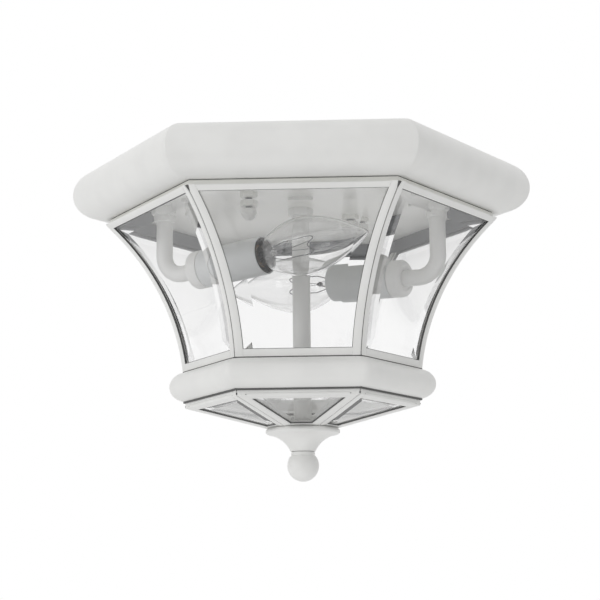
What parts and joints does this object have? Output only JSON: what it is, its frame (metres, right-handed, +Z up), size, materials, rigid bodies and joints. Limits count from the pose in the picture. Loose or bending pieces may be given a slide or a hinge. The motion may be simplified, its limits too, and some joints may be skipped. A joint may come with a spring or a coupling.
{
  "type": "outdoor ceiling light",
  "caption": "Semi-flush hexagonal outdoor ceiling lantern: painted canopy, curved bevelled glass cage that drops on a centre rod, candle lights inside and a ball finial below.",
  "frame": {"origin": "centre of the ceiling plane, midway between the two slots of the box strap", "axes": "+Z up, out of the light towards the ceiling, with the light hanging below; +X along the line of the box slots and of two corners of the hexagon; -Y out of the flat side that faces the viewer"},
  "size_m": [0.2674, 0.2316, 0.184],
  "materials": {
    "white_enamel": "satin white baked enamel",
    "white_plate": "satin white baked enamel on flat sheet",
    "zinc_plate": "bright zinc plating",
    "grey_steel": "plain sheet steel, dull grey",
    "green_screw": "green coated steel",
    "clear_glass": "clear, polished, bevelled edges",
    "bulb_glass": "clear, polished",
    "candle_sleeve": "satin off-white",
    "socket_phenolic": "dark moulded phenolic",
    "brass": "plain rolled brass",
    "bulb_base": "rolled bright metal",
    "black_vinyl": "smooth vinyl",
    "filament": "fine drawn wire"
  },
  "bodies": {
    "root": {"canopy_pan": "white_enamel", "canopy_plate": "white_plate", "plate_screws": "white_enamel", "box_strap": "zinc_plate", "fixture_strap": "zinc_plate", "strap_eyelet": "zinc_plate", "ground_screw": "green_screw", "canopy_studs": "zinc_plate", "stud_nuts": "zinc_plate", "acorn_nuts": "white_enamel", "centre_rod": "white_enamel", "rod_nuts": "white_enamel", "rod_washer": "zinc_plate", "arm_collars": "white_enamel", "arm_nuts": "white_enamel", "socket_shells": "brass", "socket_contacts": "brass", "arm_left": "white_enamel", "socket_cup_left": "white_enamel", "candle_sleeve_left": "candle_sleeve", "socket_body_left": "socket_phenolic", "socket_leads_left": "black_vinyl", "arm_right": "white_enamel", "socket_cup_right": "white_enamel", "candle_sleeve_right": "candle_sleeve", "socket_body_right": "socket_phenolic", "socket_leads_right": "black_vinyl"},
    "bulb_left": {"bulb_glass_left": "bulb_glass", "bulb_base_left": "bulb_base", "bulb_stem_left": "bulb_glass", "bulb_filament_left": "filament"},
    "bulb_right": {"bulb_glass_right": "bulb_glass", "bulb_base_right": "bulb_base", "bulb_stem_right": "bulb_glass", "bulb_filament_right": "filament"},
    "cage": {"cage_top_ring": "grey_steel", "cage_band": "white_enamel", "lower_frames": "white_enamel", "lower_hub": "white_enamel", "upper_frame_front": "white_enamel", "upper_frame_front_right": "white_enamel", "upper_frame_back_right": "white_enamel", "upper_frame_back": "white_enamel", "upper_frame_back_left": "white_enamel", "upper_frame_front_left": "white_enamel", "upper_glass_front": "clear_glass", "upper_glass_front_right": "clear_glass", "upper_glass_back_right": "clear_glass", "upper_glass_back": "clear_glass", "upper_glass_back_left": "clear_glass", "upper_glass_front_left": "clear_glass", "lower_glass_front": "clear_glass", "lower_glass_front_right": "clear_glass", "lower_glass_back_right": "clear_glass", "lower_glass_back": "clear_glass", "lower_glass_back_left": "clear_glass", "lower_glass_front_left": "clear_glass"},
    "cap": {"bell_cap": "white_enamel"},
    "finial": {"ball_finial": "white_enamel"}
  },
  "joints": [
    {"name": "bulb_left_turn", "type": "hinge", "parent": "root", "child": "bulb_left", "pos_m": [-0.0782, 0, -0.0643], "axis": [0.8589, -0.5059, 0.0802], "range_deg": [0, 1260]},
    {"name": "bulb_right_turn", "type": "hinge", "parent": "root", "child": "bulb_right", "pos_m": [0.0782, 0, -0.0659], "axis": [-0.8608, 0.5071, 0.0436], "range_deg": [0, 1260]},
    {"name": "cage_lower", "type": "slide", "parent": "root", "child": "cage", "axis": [0, 0, -1], "range_m": [0, 0.16]},
    {"name": "cap_drop", "type": "slide", "parent": "cage", "child": "cap", "axis": [0, 0, -1], "range_m": [0, 0.0094]},
    {"name": "finial_turn", "type": "hinge", "parent": "cap", "child": "finial", "pos_m": [0, 0, -0.17], "axis": [0, 0, -1], "range_deg": [0, 3600]}
  ],
  "couplings": [
    {"joint": "finial_turn", "follows": "cap_drop", "rad_per_m": 6679}
  ]
}
